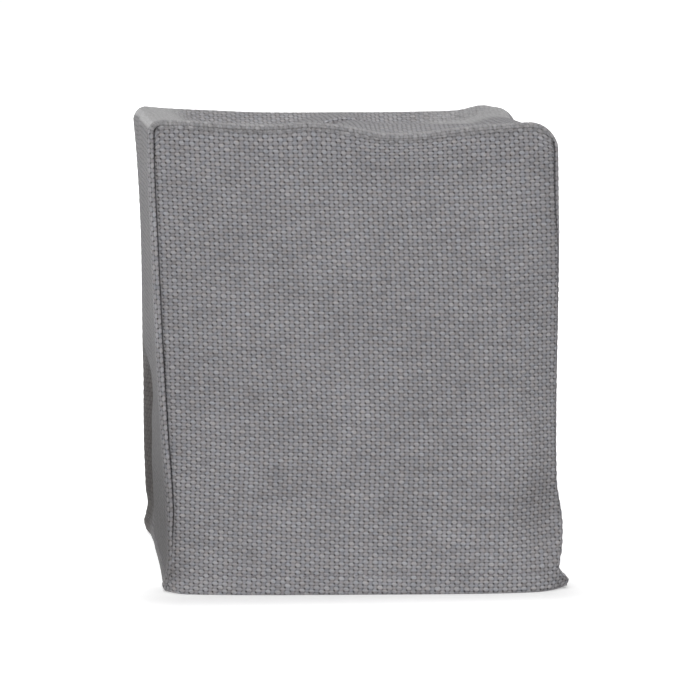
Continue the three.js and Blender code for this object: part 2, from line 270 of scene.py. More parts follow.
# Painted shade in the deep fold of the left side, around a depth and with a spread, and at its foot.
# Painted shades on the front cloth: place across, height, width, length and share
FOLD_PAINTED_SHADE = (54.0, 10.0)
FOLD_PAINTED_SHADE_TOP = (70.0, 24.0)
FOOT_PAINTED_SHADE = 0.3
FOOT_PAINTED_SHADE_TOP = (45.0, 30.0)
PAINTED_SHADES = ((54, 28, 6, 14, 0.22), (-58, 10, 4, 11, 0.5))

# Threads: size and form of one stitch, and how the lines of stitches lie on the cloths
STITCH = dict(length=2.1, pitch=3.0, radius=0.24, sink=0.20, taper=0.85, dip=0.3)
STITCH_RINGS = 6
STITCH_SIDES = 7
SLOT_STITCH_INSET = 3.8
SLOT_THREAD = 0.6
PANEL_MARGIN = 1.5
STRIP_MARGIN = 3.0
HEM_PLACES = (0.04, 4.96)
LINE_POINTS = dict(hem=80, slot=200)

# Colours
FLOAT_LIGHT = (0.372, 0.366, 0.383)
WARP_MIDDLE = (0.300, 0.293, 0.309)
# Colour of the painted shade in the gaps between the yarns
GAP_SHADE_COLOR = (0.040, 0.034, 0.033)
FUZZ_COLOR = (0.286, 0.280, 0.282)
# Colour of the painted shade in the folds and at the foot of the left side
PAINTED_SHADE_TONE = (0.48, 0.445, 0.41)
THREAD_COLOR = (0.270, 0.255, 0.275)
THREAD_DARK = 0.75
FLOOR_COLORS = ((0.90, 0.90, 0.90), (0.94, 0.94, 0.94))
SHEET_COLOR = (0.05, 0.04, 0.035)
WHITE = (1.0, 1.0, 1.0)

# Smooth steps of the materials: where each starts and ends, and its values before and after
YARN_STEP = (-0.05, 0.05, 0.0, 1.0)
# Painted shade in the gaps between the yarns
GAP_SHADE_STEP = (0.0, 1.0, 1.0, 0.0)
# Painted shade where the yarns sink low, at the edges of the level yarns and at the sides of the
# upright ones
HOLLOW_PAINTED_SHADE_STEP = (0.0, 0.20, 0.55, 1.0)
FLOAT_EDGE_PAINTED_SHADE_STEP = (0.0, 0.8, 0.64, 1.0)
COLUMN_EDGE_PAINTED_SHADE_STEP = (0.0, 0.6, 0.78, 1.0)
# Painted light on the fuzz: darker where its share is low, lighter at the top corners and crests
FUZZ_PAINTED_LIGHT_STEP = (0.55, 1.0, 0.74, 0.86)
SHEEN_STEP = (0.55, 1.0, 0.12, 0.5)

# Noises of the materials: how strong each is, how fast it changes across and along, and how
# much fine detail it has
SLUB = (0.44, 0.14, 3.7, 2.0)
STREAK = (0.20, 5.3, 0.1, 2.0)
CLOUD = (0.25, 0.045, 0.045, 4.0)
RAGGED = (0.14, 3.5, 3.5, 2.0)
WEFT_FIBRE = (1.0, 2.2, 9.0, 3.0)
WARP_FIBRE = (1.0, 9.0, 2.2, 3.0)
TINT = (0.18, 0.7, 0.7, 3.0)
MOTTLE = (2.2, 1.5, 0.3, 3.0)
FLOOR_CLOUD = (1.0, 6.0, 6.0, 2.0)

# Other looks of the cloth
# Painted shade in the gaps where four yarns meet: its falloff along rows and columns, its depth at
# alternate meetings, its spread
GAP_SHADE = dict(row_sharpness=4.5, column_sharpness=11.0, deep=1.0, shallow=0.30, spread=0.5)
FLOAT_SPREAD = 0.15
FIBRE_LIGHT = 0.7
FIBRE_HEIGHT = 0.06
FUZZ_COVER = 0.7
FUZZ_DARKEST = 0.9

# Surroundings: where the light of the sky changes from left to right and how strong it is there,
# the brightness behind the cover, the floor, its shade before the foot, and the lamps
SKY = (-1.0, 0.6, 0.15, 0.40)
BACKDROP_LIGHT = 1.05
LOW_LIGHT = dict(toward=(-0.75, 0.1, -0.65), least=0.85, strength=4.9)
FLOOR_GLOW = (0.08, 0.6)
FOOT_SHADE = dict(half=52.0, front=-66.0, reach=36.0)
LIGHTS = (
    ("overhead", (-50, -200, 1000), 80, 1.68),
    ("front_fill", (-190, -1000, 300), 60, 1.30),
)

# Rectangles of the stage: left, right, front, back and height
FLOOR = (-30000.0, 30000.0, -30000.0, 30000.0, 0.0)
DARK_SHEET = (-150.0, -62.0, -75.0, 90.0, -1.0)


def ramp(value):
    t = np.clip(value, 0, 1)
    return t * t * (3 - 2 * t)


def rising(value, start, length):
    return ramp((value - start) / length)


def falling(value, end, length):
    return ramp((end - value) / length)


def window(value, start, end, rise, fall):
    """Goes smoothly up from 0 at a start, and down again to 0 at an end."""
    return rising(value, start, rise) * falling(value, end, fall)


def hump(distance, spread):
    return np.exp(-0.5 * (distance / spread) ** 2)


def blend(start, end, share):
    return start + (end - start) * share


def square(value):
    return value * value


def read(table, column, place):
    """Smooth value of one column of a table at places along its first column."""
    keys = np.array(next(iter(table.values())), float)
    values = np.array(table[column], float)
    number = np.arange(len(keys))
    before = np.maximum(number - 1, 0)
    after = np.minimum(number + 1, len(keys) - 1)
    slopes = (values[after] - values[before]) / (keys[after] - keys[before])
    at = np.clip(place, keys[0], keys[-1])
    i = np.clip(np.searchsorted(keys, at) - 1, 0, len(keys) - 2)
    span = keys[i + 1] - keys[i]
    t = (at - keys[i]) / span
    return (
        values[i] * (1 + 2 * t) * (1 - t) ** 2
        + span * slopes[i] * t * (1 - t) ** 2
        + values[i + 1] * t * t * (3 - 2 * t)
        + span * slopes[i + 1] * t * t * (t - 1)
    )


# The hanging form of the cover


def fold_rise(folds, along, height):
    """How far the folds of one side lift its cloth at a place along it and a height."""
    total = 0.0
    for place, spread, middle, reach, rise in folds:
        upright = ramp(1 - np.abs(height - middle) / reach)
        total = total + rise * hump(along - place, spread) * upright
    return total


def wall_out(side, depth, height):
    """Distance of a side wall from the middle plane."""
    table = LEFT_WALL if side < 0 else RIGHT_WALL
    t = np.clip(depth / HALF_DEPTH, -1, 1)
    edge = np.where(t < 0, read(table, "front", height), read(table, "back", height))
    out = HALF_WIDTH + blend(read(table, "middle", height), edge, t * t)
    return out + fold_rise(WALL_FOLDS[side], depth, height)


def cloth_out(face, across, height):
    """Distance of the front or back cloth from the middle plane."""
    table = FRONT_CLOTH if face < 0 else BACK_CLOTH
    t = np.clip(across / HALF_WIDTH, -1, 1)
    out = HALF_DEPTH + blend(read(table, "left", height), read(table, "right", height), (t + 1) / 2)
    out = out + read(table, "belly", height) * (1 - t**4)
    out = out + fold_rise(CLOTH_FOLDS[face], across, height)
    if face < 0:
        size = np.where(across < 0, FOOT_CURL["left"], FOOT_CURL["right"])
        place = np.clip(1 - (HALF_WIDTH - np.abs(across)) / FOOT_CURL["reach"], 0, 1)
        out = out - size * place**2 * ramp(1 - height / FOOT_CURL["height"]) ** 2
    return out


def top_height(across, depth):
    """Height of the top's outside."""
    from_front = ramp(1 - (depth + HALF_DEPTH) / EDGE_REACH)
    from_back = ramp(1 - (HALF_DEPTH - depth) / EDGE_REACH)
    from_side = ramp(1 - (HALF_WIDTH - np.abs(across)) / EDGE_REACH)
    front = read(TOP_EDGES, "front", across)
    back = read(TOP_EDGES, "back", across)
    along = blend(front, back, np.clip((depth + HALF_DEPTH) / DEPTH, 0, 1))
    inner = blend(TOP_LEVEL, along, from_side)
    height = HEIGHT + blend(blend(inner, front, from_front), back, from_back)
    for left, right, near, far, soft, far_soft, low in TOP_DISHES:
        dish = window(across, left, right, soft, soft) * window(depth, near, far, soft, far_soft)
        height = height - low * dish
    return height


def upper_bend(side, depth):
    """Radius and centre of an upper bend, in the cross-section at one depth."""
    radius = blend(*BENDS[side], np.clip((depth + HALF_DEPTH) / DEPTH, 0, 1))
    across = side * (wall_out(side, depth, HEIGHT - radius) - radius)
    return radius, across, top_height(across, depth) - radius


def section(place, depth, inset):
    """Point of a cross-section of the strip, set in from its outside. Place goes up the left
    wall from 0 to 1, round the bend to 2, over the top to 3, round to 4 and down to 5."""
    place, depth, inset = np.broadcast_arrays(place, depth, inset)
    bends = [upper_bend(side, depth) for side in (-1, 1)]
    across = blend(bends[0][1], bends[1][1], np.clip(place - 2, 0, 1))
    height = top_height(across, depth) - inset
    for side, up, (radius, middle, base) in zip((-1, 1), (place, 5 - place), bends):
        angle = np.clip(up - 1, 0, 1) * pi / 2
        on_bend = (up > 1) & (up < 2)
        across = np.where(on_bend, middle + side * (radius - inset) * np.cos(angle), across)
        height = np.where(on_bend, base + (radius - inset) * np.sin(angle), height)
        wall_height = np.clip(up, 0, 1) * base
        wall = side * (wall_out(side, depth, wall_height) - inset)
        across = np.where(up <= 1, wall, across)
        height = np.where(up <= 1, wall_height, height)
    return across, height


def seam_roll(place, face):
    """Radius of the roll beside a seam."""
    if face > 0:
        return np.full(np.shape(place), SEAM_ROLL)
    return read(FRONT_SEAM, "roll", place)


def seam_depth(place, face):
    """Depth of the seam of a face, found in a few rounds."""
    depth = np.full(np.shape(place), face * HALF_DEPTH)
    for _ in range(ROUNDS["seam"]):
        across, height = section(place, depth, seam_roll(place, face))
        depth = face * cloth_out(face, across, height)
    return depth


def hem_thickness(height, from_seam):
    """Thickness of a wall, which doubles over at its hem, away from the corner seams."""
    hem = ramp(HEM_HEIGHT + 1 - height) * rising(from_seam, *HEM_FROM_SEAM)
    return blend(CLOTH, HEM_THICKNESS, hem)


def from_slot(across, depth):
    """Distance from the edge of the slot, below zero inside it."""
    return np.hypot(np.maximum(np.abs(across) - SLOT_STRAIGHT, 0), depth) - SLOT_RADIUS


def top_thickness(across, depth):
    """Thickness of the top, which doubles over around the slot."""
    return blend(CLOTH, HEM_THICKNESS, falling(from_slot(across, depth), *SLOT_EDGE))


def seam_room(roll, from_roll):
    """How thick a cloth can be beside the roll of a seam."""
    return roll + SEAM_ROOM["least"] + SEAM_ROOM["slope"] * from_roll


def foot_lift(across, depth, height):
    """How far the two front corners of the foot are lifted off the floor."""
    lift = 0 * height
    for x, width, y, length, z, rise in FOOT_LIFT:
        near = ramp(1 - np.abs(across - x) / width) * hump(depth - y, length)
        lift = lift + rise * near * ramp(1 - height / z)
    return lift


# Yarns


def soft_noise(seed, across, along):
    """Smooth random values from -1 to 1 over a plane, with a new value every one unit."""
    size = NOISE_TABLE
    table = np.random.default_rng(seed).uniform(-1, 1, (size, size))
    i = np.floor(across).astype(int)
    j = np.floor(along).astype(int)
    s = ramp(across - i)
    t = ramp(along - j)
    low = blend(table[i % size, j % size], table[(i + 1) % size, j % size], s)
    high = blend(table[i % size, (j + 1) % size], table[(i + 1) % size, (j + 1) % size], s)
    return blend(low, high, t)


def wander(seed, u, v):
    """How far the yarns stray to the right and up from an even spacing, in yarns."""
    strays = []
    for reach, across, along in (*STRAY_RIGHT, *STRAY_UP):
        strays.append(reach * soft_noise(seed + len(strays), u / across, v / along))
    return strays[0] + strays[1], strays[2] + strays[3]


def strayed(seed, u, v):
    right, up = wander(seed, u, v)
    return u + right, v + up


def yarns_at(u, v, floor, cosine):
    """Heights of the level and the upright yarn at yarn counts, and squares of the places
    across them, 0 in the middle. The counts are arrays or values of nodes."""
    row = floor(v)
    row_square = square(2 * (v - row) - 1)
    column_square = square(2 * (u - floor(u)) - 1)
    wave = cosine((u - row - 0.5) * pi)
    wave = wave * (1.5 - 0.5 * square(wave)) * YARN_WAVE
    weft = (1 - square(row_square)) * WEFT_CROWN + wave
    warp = (1 - column_square) * WARP_CROWN - WARP_SUNK - wave
    return weft, warp, row_square, column_square


def weave_relief(seed, u, v):
    """Height of a plain weave over its middle at yarn counts u and v."""
    weft, warp, _, _ = yarns_at(u, v, np.floor, np.cos)
    uneven = soft_noise(seed + 4, u / THICKNESS_YARNS, np.floor(v))
    return np.maximum(weft * (1 + THICKNESS_SPREAD * uneven), warp) - WEAVE_MIDDLE


def yarn_steps(first, last, steps):
    """Counts at the same few steps of every yarn."""
    return (np.arange(first, last)[:, None] + np.array(steps)).ravel()


# Meshes


class Cloth:
    """Points and faces of one cloth, gathered before they become a mesh."""

    def __init__(self):
        self.points = []
        self.faces = []
        self.size = 0

    def add(self, *values, gone=False):
        """Takes in a grid of places, yarn counts and, where not zero, shares of relief, of fuzz with
        its painted light and of painted shade, with all its faces but those that are gone. Returns the
        numbers of its points."""
        values = np.broadcast_arrays(*values, *np.zeros(8 - len(values)))
        self.points.append(np.stack(values, -1).reshape(-1, 8))
        grid = self.size + np.arange(values[0].size).reshape(values[0].shape)
        self.size += grid.size
        quads = corners_of(grid)
        self.faces.append(quads[np.broadcast_to(np.logical_not(gone), quads.shape[:2])])
        return grid

    def zip(self, first, second, first_at=None, second_at=None):
        """A strip of triangles between two lines of points that run side by side."""
        points = np.vstack(self.points)[:, :3]
        first_at = share_along(points[first]) if first_at is None else first_at
        second_at = share_along(points[second]) if second_at is None else second_at
        first_at = np.append(first_at, np.inf)
        second_at = np.append(second_at, np.inf)
        i = 0
        j = 0
        strip = []
        while i + 1 < len(first) or j + 1 < len(second):
            if first_at[i + 1] <= second_at[j + 1]:
                strip.append((first[i], first[i + 1], second[j], second[j]))
                i += 1
            else:
                strip.append((first[i], second[j + 1], second[j], second[j]))
                j += 1
        self.faces.append(np.array(strip))

    def close(self, outside, inside):
        """Joins the four edges of two grids."""
        for edge in (np.s_[:, 0], np.s_[:, -1], np.s_[0], np.s_[-1]):
            self.zip(outside[edge], inside[edge])

    def mesh(self, name):
        """The cloth as one closed mesh in metres, with its yarn counts as a map."""
        points = np.vstack(self.points)
        cells = np.round(points[:, :3] / SAME_POINT).astype(np.int64)
        _, first, same = np.unique(cells, axis=0, return_index=True, return_inverse=True)
        faces = same.reshape(-1)[np.vstack(self.faces)]
        used, faces = np.unique(faces, return_inverse=True)
        points = points[first[used]]
        loops = [list(dict.fromkeys(face)) for face in faces.reshape(-1, 4).tolist()]
        loops = [loop for loop in loops if len(loop) > 2]
        mesh = bpy.data.meshes.new(name)
        mesh.from_pydata((points[:, :3] * MM).tolist(), [], loops)
        corner = np.concatenate(loops)
        mesh.uv_layers.new(name="Yarns").uv.foreach_set("vector", points[corner, 3:5].ravel())
        for column, kind in enumerate(("relief", "fuzz_and_painted_light", "painted_shade"), 5):
            attribute = mesh.attributes.new(kind, "FLOAT", "POINT")
            attribute.data.foreach_set("value", points[:, column].copy())
        work = bmesh.new()
        work.from_mesh(mesh)
        bmesh.ops.recalc_face_normals(work, faces=work.faces)
        work.to_mesh(mesh)
        work.free()
        return mesh


def corners_of(grid):
    """The four neighbours round each cell of a grid."""
    return np.stack([grid[:-1, :-1], grid[1:, :-1], grid[1:, 1:], grid[:-1, 1:]], 2)


def length_along(points):
    """Length of a line up to each of its points."""
    steps = np.linalg.norm(np.diff(points, axis=0), axis=1)
    return np.hstack([[0], np.cumsum(steps)])


def share_along(points):
    """Share of a line's length at each of its points."""
    length = length_along(points)
    return length / length[-1]


def link(name, data):
    """A new object of the scene."""
    thing = bpy.data.objects.new(name, data)
    bpy.context.scene.collection.objects.link(thing)
    return thing


def put(name, mesh, material):
    """Makes a mesh a smooth piece, shifted from the cover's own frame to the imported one."""
    points = np.empty(3 * len(mesh.vertices))
    mesh.vertices.foreach_get("co", points)
    points = points.reshape(-1, 3) / MM
    points[:, 2] += foot_lift(*points.T)
    mesh.vertices.foreach_set("co", (points * MM).ravel())
    mesh.transform(shift)
    mesh.polygons.foreach_set("use_smooth", np.ones(len(mesh.polygons), bool))
    mesh.update()
    mesh.materials.append(material)
    return link(name, mesh)


def put_sheet(name, cloth, material):
    piece = put(name, cloth.mesh(name), material)
    return piece


# The front and back panels


def panel_outline(face):
    """Outline of a panel just inside its seam: functions that give its left and right edges
    for a height and its top edge for a place across."""

    def line(start, end, steps):
        place = np.linspace(start, end, steps)
        gap = read(FRONT_SEAM, "gap", place) if face < 0 else BACK_GAP
        uneven = soft_noise(SEAM_RAGGED["seed"], place * SEAM_RAGGED["changes"], 0 * place)
        inset = seam_roll(place, face) + gap + SEAM_RAGGED["reach"] * uneven
        return section(place, seam_depth(place, face), inset)

    left = line(0, 2, SEAM_POINTS["side"])
    right = line(5, 3, SEAM_POINTS["side"])
    top = line(1, 4, SEAM_POINTS["top"])
    return (
        lambda height: np.interp(height, left[1], left[0]),
        lambda height: np.interp(height, right[1], right[0]),
        lambda across: np.interp(across, top[0], top[1]),
    )


def painted_shade_of(x, z):
    """Painted shade of the folds of the front cloth at a place."""
    shade = 0 * z
    for across, height, width, length, share in PAINTED_SHADES:
        shade = shade + share * hump(x - across, width) * hump(z - height, length)
    return shade


def along_cloth(face):
    """A function that gives the distance along the cloth from its middle to a place."""
    across = np.arange(-70.0, 71.0)
    height = np.arange(0.0, 141.0, 4.0)
    depth = cloth_out(face, across[:, None], height[None, :])
    steps = np.hypot(np.diff(depth, axis=0), across[1] - across[0])
    length = np.vstack([np.zeros(len(height)), np.cumsum(steps, axis=0)])
    length = length - length[len(across) // 2]

    def distance(x, z):
        i = np.clip(x - across[0], 0, len(across) - 1.001)
        j = np.clip(z / height[1], 0, len(height) - 1.001)
        m = i.astype(int)
        n = j.astype(int)
        low = blend(length[m, n], length[m + 1, n], i - m)
        high = blend(length[m, n + 1], length[m + 1, n + 1], i - m)
        return blend(low, high, j - n)

    return distance


def panel_grain(face, outline):
    """A function that gives a panel's yarn counts at a place, before its yarns stray."""
    distance = along_cloth(face)
    top = outline[2]

    def counts(x, z):
        if face > 0:
            return distance(x, z) / WARP_PITCH, z / WEFT_PITCH
        sag = read(GRAIN, "fall", z) * x - read(GRAIN, "turn", z) * x * x / 2
        sag = sag - EDGE_FALL["slope"] * np.maximum(x - EDGE_FALL["across"], 0)
        edge = top(np.zeros(1)) - top(x)
        lift = blend(sag, edge, ramp((z - HEIGHT + EDGE_GRAIN) / EDGE_GRAIN))
        right = read(GRAIN, "right", z)
        return (distance(x, z) - right) / WARP_PITCH, (z + lift) / WEFT_PITCH

    return counts


def grid_line(limits, steps):
    """Yarn counts of a panel's grid lines with border lines at both ends, and how far each
    stays from the low edge and from the high one."""
    border = np.array(BORDER_STEPS[:-1])
    beyond = np.full(len(border), 1e4)
    counts = yarn_steps(*limits, steps)
    plain = np.full(len(counts) + len(border), BORDER_STEPS[-1])
    wanted = np.hstack([-beyond, counts, beyond])
    return wanted, np.hstack([border, plain]), np.hstack([plain, border[::-1]])


def panel_places(outline, counts, seed):
    """Places of a panel's relief: a grid with a few lines for each yarn, found in rounds,
    because the yarn counts depend on the places."""
    left, right, top = outline
    u_wanted, from_left, from_right = (line[None, :] for line in grid_line(PANEL_COLUMNS, COLUMN_STEPS))
    v_wanted, from_low, from_top = (line[:, None] for line in grid_line(PANEL_ROWS, ROW_STEPS))
    stray_right, stray_up = wander(seed, u_wanted + 0 * v_wanted, v_wanted + 0 * u_wanted)
    x = np.clip(u_wanted * WARP_PITCH, -HALF_WIDTH, HALF_WIDTH) + 0 * v_wanted
    z = np.clip(v_wanted * WEFT_PITCH, 0, HEIGHT) + 0 * u_wanted
    for _ in range(ROUNDS["outside"]):
        u_now, v_now = counts(x, z)
        x = x - (u_now + stray_right - u_wanted) * WARP_PITCH
        z = z - (v_now + stray_up - v_wanted) * WEFT_PITCH
        level = np.clip(z, from_low, top(np.clip(x, -HALF_WIDTH, HALF_WIDTH)) - from_top)
        x = np.clip(x, left(level) + from_left, right(level) - from_right)
        z = np.clip(z, from_low, top(x) - from_top)
    return x, z


def seam_share(face, x, z):
    """Radius of the nearest side seam's roll, as a share of the full one."""
    place = np.where(x < 0, 0.5, 5 - z / (HEIGHT - BENDS[1][0]))
    return seam_roll(np.clip(place, 0, 5), face) / SEAM_ROLL


def sink(amount, distance):
    return amount["depth"] * np.clip(1 - distance / amount["width"], 0, 1) ** 2


def hem_dent(height):
    """Dent of the hem's stitching."""
    return HEM_DENT["depth"] * hump(height - HEM_HEIGHT, HEM_DENT["spread"])


def panel_outside(cloth, face, seed, outline, counts):
    """Adds the outside of a panel with the relief of its yarns."""
    left, right, top = outline
    x, z = panel_places(outline, counts, seed)
    u, v = strayed(seed, *counts(x, z))
    to_side = np.minimum(x - left(z), right(z) - x)
    to_top = top(x) - z
    groove = sink(SIDE_GROOVE, to_side) * seam_share(face, x, z)
    groove = groove * rising(z, *GROOVE_FOOT) * np.where(x > 0, falling(z, *GROOVE_TOP), 1)
    low = np.maximum(np.maximum(groove, sink(TOP_GROOVE, to_top)), sink(HEM_ROUND, z))
    modelled = ramp(np.minimum(to_side, to_top) / PLAIN_EDGE)
    proud = weave_relief(seed, u, v) * modelled - low - hem_dent(z)
    step = 0.05
    lean_x = (cloth_out(face, x + step, z) - cloth_out(face, x - step, z)) / (2 * step)
    lean_z = (cloth_out(face, x, z + step) - cloth_out(face, x, z - step)) / (2 * step)
    proud = proud / np.sqrt(1 + lean_x**2 + lean_z**2)
    # Fuzz along the crest, whose share also sets its painted light
    fuzz_and_painted_light = FUZZ_AND_PAINTED_LIGHT["crest"] * falling(to_top, *PANEL_CREST) * (face < 0)
    # Painted shade of the folds of the front cloth
    shade = painted_shade_of(x, z) * (face < 0)
    depth = face * (cloth_out(face, x, z) + proud)
    height = np.maximum(z - proud * lean_z, 0)
    return cloth.add(x - proud * lean_x, depth, height, u, v, modelled, fuzz_and_painted_light, shade)


def panel_inside(cloth, face, seed, outline, counts):
    """Adds the plain inside of a panel."""
    left, right, top = outline
    share = np.linspace(0, 1, PANEL_INSIDE["across"])[None, :]
    up = np.linspace(PANEL_INSIDE["first"], 1, PANEL_INSIDE["up"])
    up = np.hstack([PANEL_INSIDE["hem"], up])[:, None]
    x = blend(left(HEIGHT * up), right(HEIGHT * up), share)
    for _ in range(ROUNDS["inside"]):
        z = up * top(x)
        x = blend(left(z), right(z), share)
    to_side = np.minimum(x - left(z), right(z) - x)
    room = seam_room(SEAM_ROLL * seam_share(face, x, z), to_side)
    depth = cloth_out(face, x, z) - np.minimum(hem_thickness(z, to_side + SEAM_ROLL), room)
    return cloth.add(x, face * depth, z, *strayed(seed, *counts(x, z)))


def make_panel(name, face, seed, material):
    outline = panel_outline(face)
    counts = panel_grain(face, outline)
    cloth = Cloth()
    outside = panel_outside(cloth, face, seed, outline, counts)
    inside = panel_inside(cloth, face, seed, outline, counts)
    cloth.close(outside, inside)
    return put_sheet(name, cloth, material)


# The slot


def slot_point(share, out):
    """Place at a share of the slot's edge, counted from its right end's front, moved out."""
    ends = np.cumsum([0, SLOT_ARC, 2 * SLOT_STRAIGHT, SLOT_ARC, 2 * SLOT_STRAIGHT])
    at = share * ends[-1]
    angle = np.interp(at, ends[:4], [-0.5, 0.5, 0.5, 1.5]) * pi
    middle = np.interp(at, ends, [1, 1, -1, -1, 1]) * SLOT_STRAIGHT
    reach = SLOT_RADIUS + out
    return middle + reach * np.cos(angle), reach * np.sin(angle)


def slot_share(x, y):
    """Share of the slot's edge nearest to a place."""
    side = SLOT_ARC + 2 * SLOT_STRAIGHT
    right = SLOT_RADIUS * (np.arctan2(y, x - SLOT_STRAIGHT) + pi / 2)
    turn = np.mod(np.arctan2(y, x + SLOT_STRAIGHT), 2 * pi) - pi / 2
    at = np.where(y > 0, side - SLOT_STRAIGHT - x, 2 * side - SLOT_STRAIGHT + x)
    at = np.where(x <= -SLOT_STRAIGHT, side + SLOT_RADIUS * turn, at)
    return np.where(x >= SLOT_STRAIGHT, right, at) / (2 * side)


def hole_line(grid, gone):
    """Point numbers round the faces that are left out of a grid, in order."""
    quads = corners_of(grid)[gone].tolist()
    edges = {(a, b) for quad in quads for a, b in zip(quad, quad[1:] + quad[:1])}
    follow = {a: b for a, b in edges if (b, a) not in edges}
    line = [min(follow)]
    while follow[line[-1]] != line[0]:
        line.append(follow[line[-1]])
    return np.array(line)


def join_slot(cloth, line, ring, ring_share):
    """Joins the faces round the slot to a smooth ring of points."""
    points = np.vstack(cloth.points)[line]
    share = slot_share(points[:, 0], points[:, 1])
    start = int(np.argmin(share))
    line = np.roll(line, -start)
    share = np.roll(share, -start)
    if share[1] > share[-1]:
        line = np.hstack([line[:1], line[1:][::-1]])
        share = np.hstack([share[:1], share[1:][::-1]])
    line = np.append(line, line[0])
    share = np.append(np.maximum.accumulate(share), 1.0)
    cloth.zip(line, ring, share, ring_share)


def in_slot(place, across, depth, margin):
    """Which faces of a grid touch the slot, its rolled edge or a margin around it."""
    near = from_slot(across, depth) < HEM_THICKNESS / 2 + margin
    return corners_of((place > 2) & (place < 3) & near).any(axis=2)


def slot_rim(cloth, strip, seed, outer_hole, inner_hole):
    """Adds the rolled edge of the slot and joins it to both sides of the cloth."""
    roll = HEM_THICKNESS / 2
    share = np.linspace(0, 1, RING_POINTS["around"])[None, :]
    turn = np.linspace(0, pi, RING_POINTS["turn"])[:, None]
    x, y = slot_point(share, roll * (1 - np.sin(turn)))
    height = top_height(*slot_point(share, roll)) - roll * (1 - np.cos(turn))
    u, v = strayed(seed, *strip.counts(*slot_point(share, roll * (1 - turn))))
    ring = cloth.add(x, y, height, u, v)
    join_slot(cloth, outer_hole, ring[0], share[0])
    join_slot(cloth, inner_hole, ring[-1], share[0])


# The gusset


class Strip:
    """The gusset's strip: places along it and across it, measured on its outside."""

    def __init__(self):
        self.places = np.linspace(0, 5, LENGTH_POINTS)
        self.lengths = length_along(np.stack(section(self.places, 0.0, 0.0), 1))
        self.length = self.lengths[-1]

    def place(self, along):
        return np.interp(along, self.lengths, self.places)

    def along(self, place):
        return np.interp(place, self.places, self.lengths)

    def edges(self, place):
        """Depths of the front and back seams, and the strip's width between them."""
        front = seam_depth(place, -1)
        back = seam_depth(place, 1)
        bends = (pi / 2 - 1) * (seam_roll(place, -1) + SEAM_ROLL)
        return front, back, back - front + bends

    def across(self, place, w):
        """Depth and inset at a distance w from the front seam."""
        front, back, width = self.edges(place)
        roll = seam_roll(place, -1)
        front_turn = np.clip(w / roll, 0, pi / 2)
        back_turn = np.clip((width - w) / SEAM_ROLL, 0, pi / 2)
        depth = front + roll * (1 - np.cos(front_turn)) + np.maximum(w - roll * pi / 2, 0)
        round_off = SEAM_ROLL * (1 - np.cos(back_turn))
        depth = np.where(back_turn < pi / 2, back - round_off, depth)
        inset = roll * (1 - np.sin(front_turn)) + SEAM_ROLL * (1 - np.sin(back_turn))
        return depth, inset

    def from_front(self, place, depth):
        """Distance from the front seam at a depth beyond its roll."""
        return depth - seam_depth(place, -1) + (pi / 2 - 1) * seam_roll(place, -1)

    def counts(self, x, y):
        """Yarn counts of the top at a place of it, before the yarns stray."""
        _, left, _ = upper_bend(-1, y)
        _, right, _ = upper_bend(1, y)
        place = 2 + (x - left) / (right - left)
        return self.along(place) / WARP_PITCH, self.from_front(place, y) / WEFT_PITCH


def normals_of(points):
    """Directions that stand out from a grid of points."""
    normal = np.cross(np.gradient(points, axis=0), np.gradient(points, axis=1))
    return normal / np.linalg.norm(normal, axis=2, keepdims=True)


def strip_fuzz_and_painted_light(place, depth, w, width):
    """How much loose fibres hide the weave of the strip, which also sets the fuzz's painted light."""
    top = window(place, *ON_TOP)
    right_corner = window(place, *ON_RIGHT_CORNER) * rising(depth, *RIGHT_CORNER_DEPTH)
    return np.maximum.reduce([
        FUZZ_AND_PAINTED_LIGHT["top"] * top,
        FUZZ_AND_PAINTED_LIGHT["crest"] * top * (falling(w, *CREST_FRONT) + falling(width - w, *CREST_BACK)),
        FUZZ_AND_PAINTED_LIGHT["side"] * window(place, *ON_SIDE) * rising(w, *SIDE_FROM_SEAM),
        FUZZ_AND_PAINTED_LIGHT["left_corner"] * window(place, *ON_LEFT_CORNER),
        FUZZ_AND_PAINTED_LIGHT["right_corner"] * right_corner,
    ])


def strip_painted_shade(place, depth, height):
    """Painted shade in the deep fold and at the foot of the left side."""
    middle, spread = FOLD_PAINTED_SHADE
    fold = hump(depth - middle, spread) * falling(height, *FOLD_PAINTED_SHADE_TOP)
    return np.maximum(fold, FOOT_PAINTED_SHADE * falling(height, *FOOT_PAINTED_SHADE_TOP)) * (place < 1)


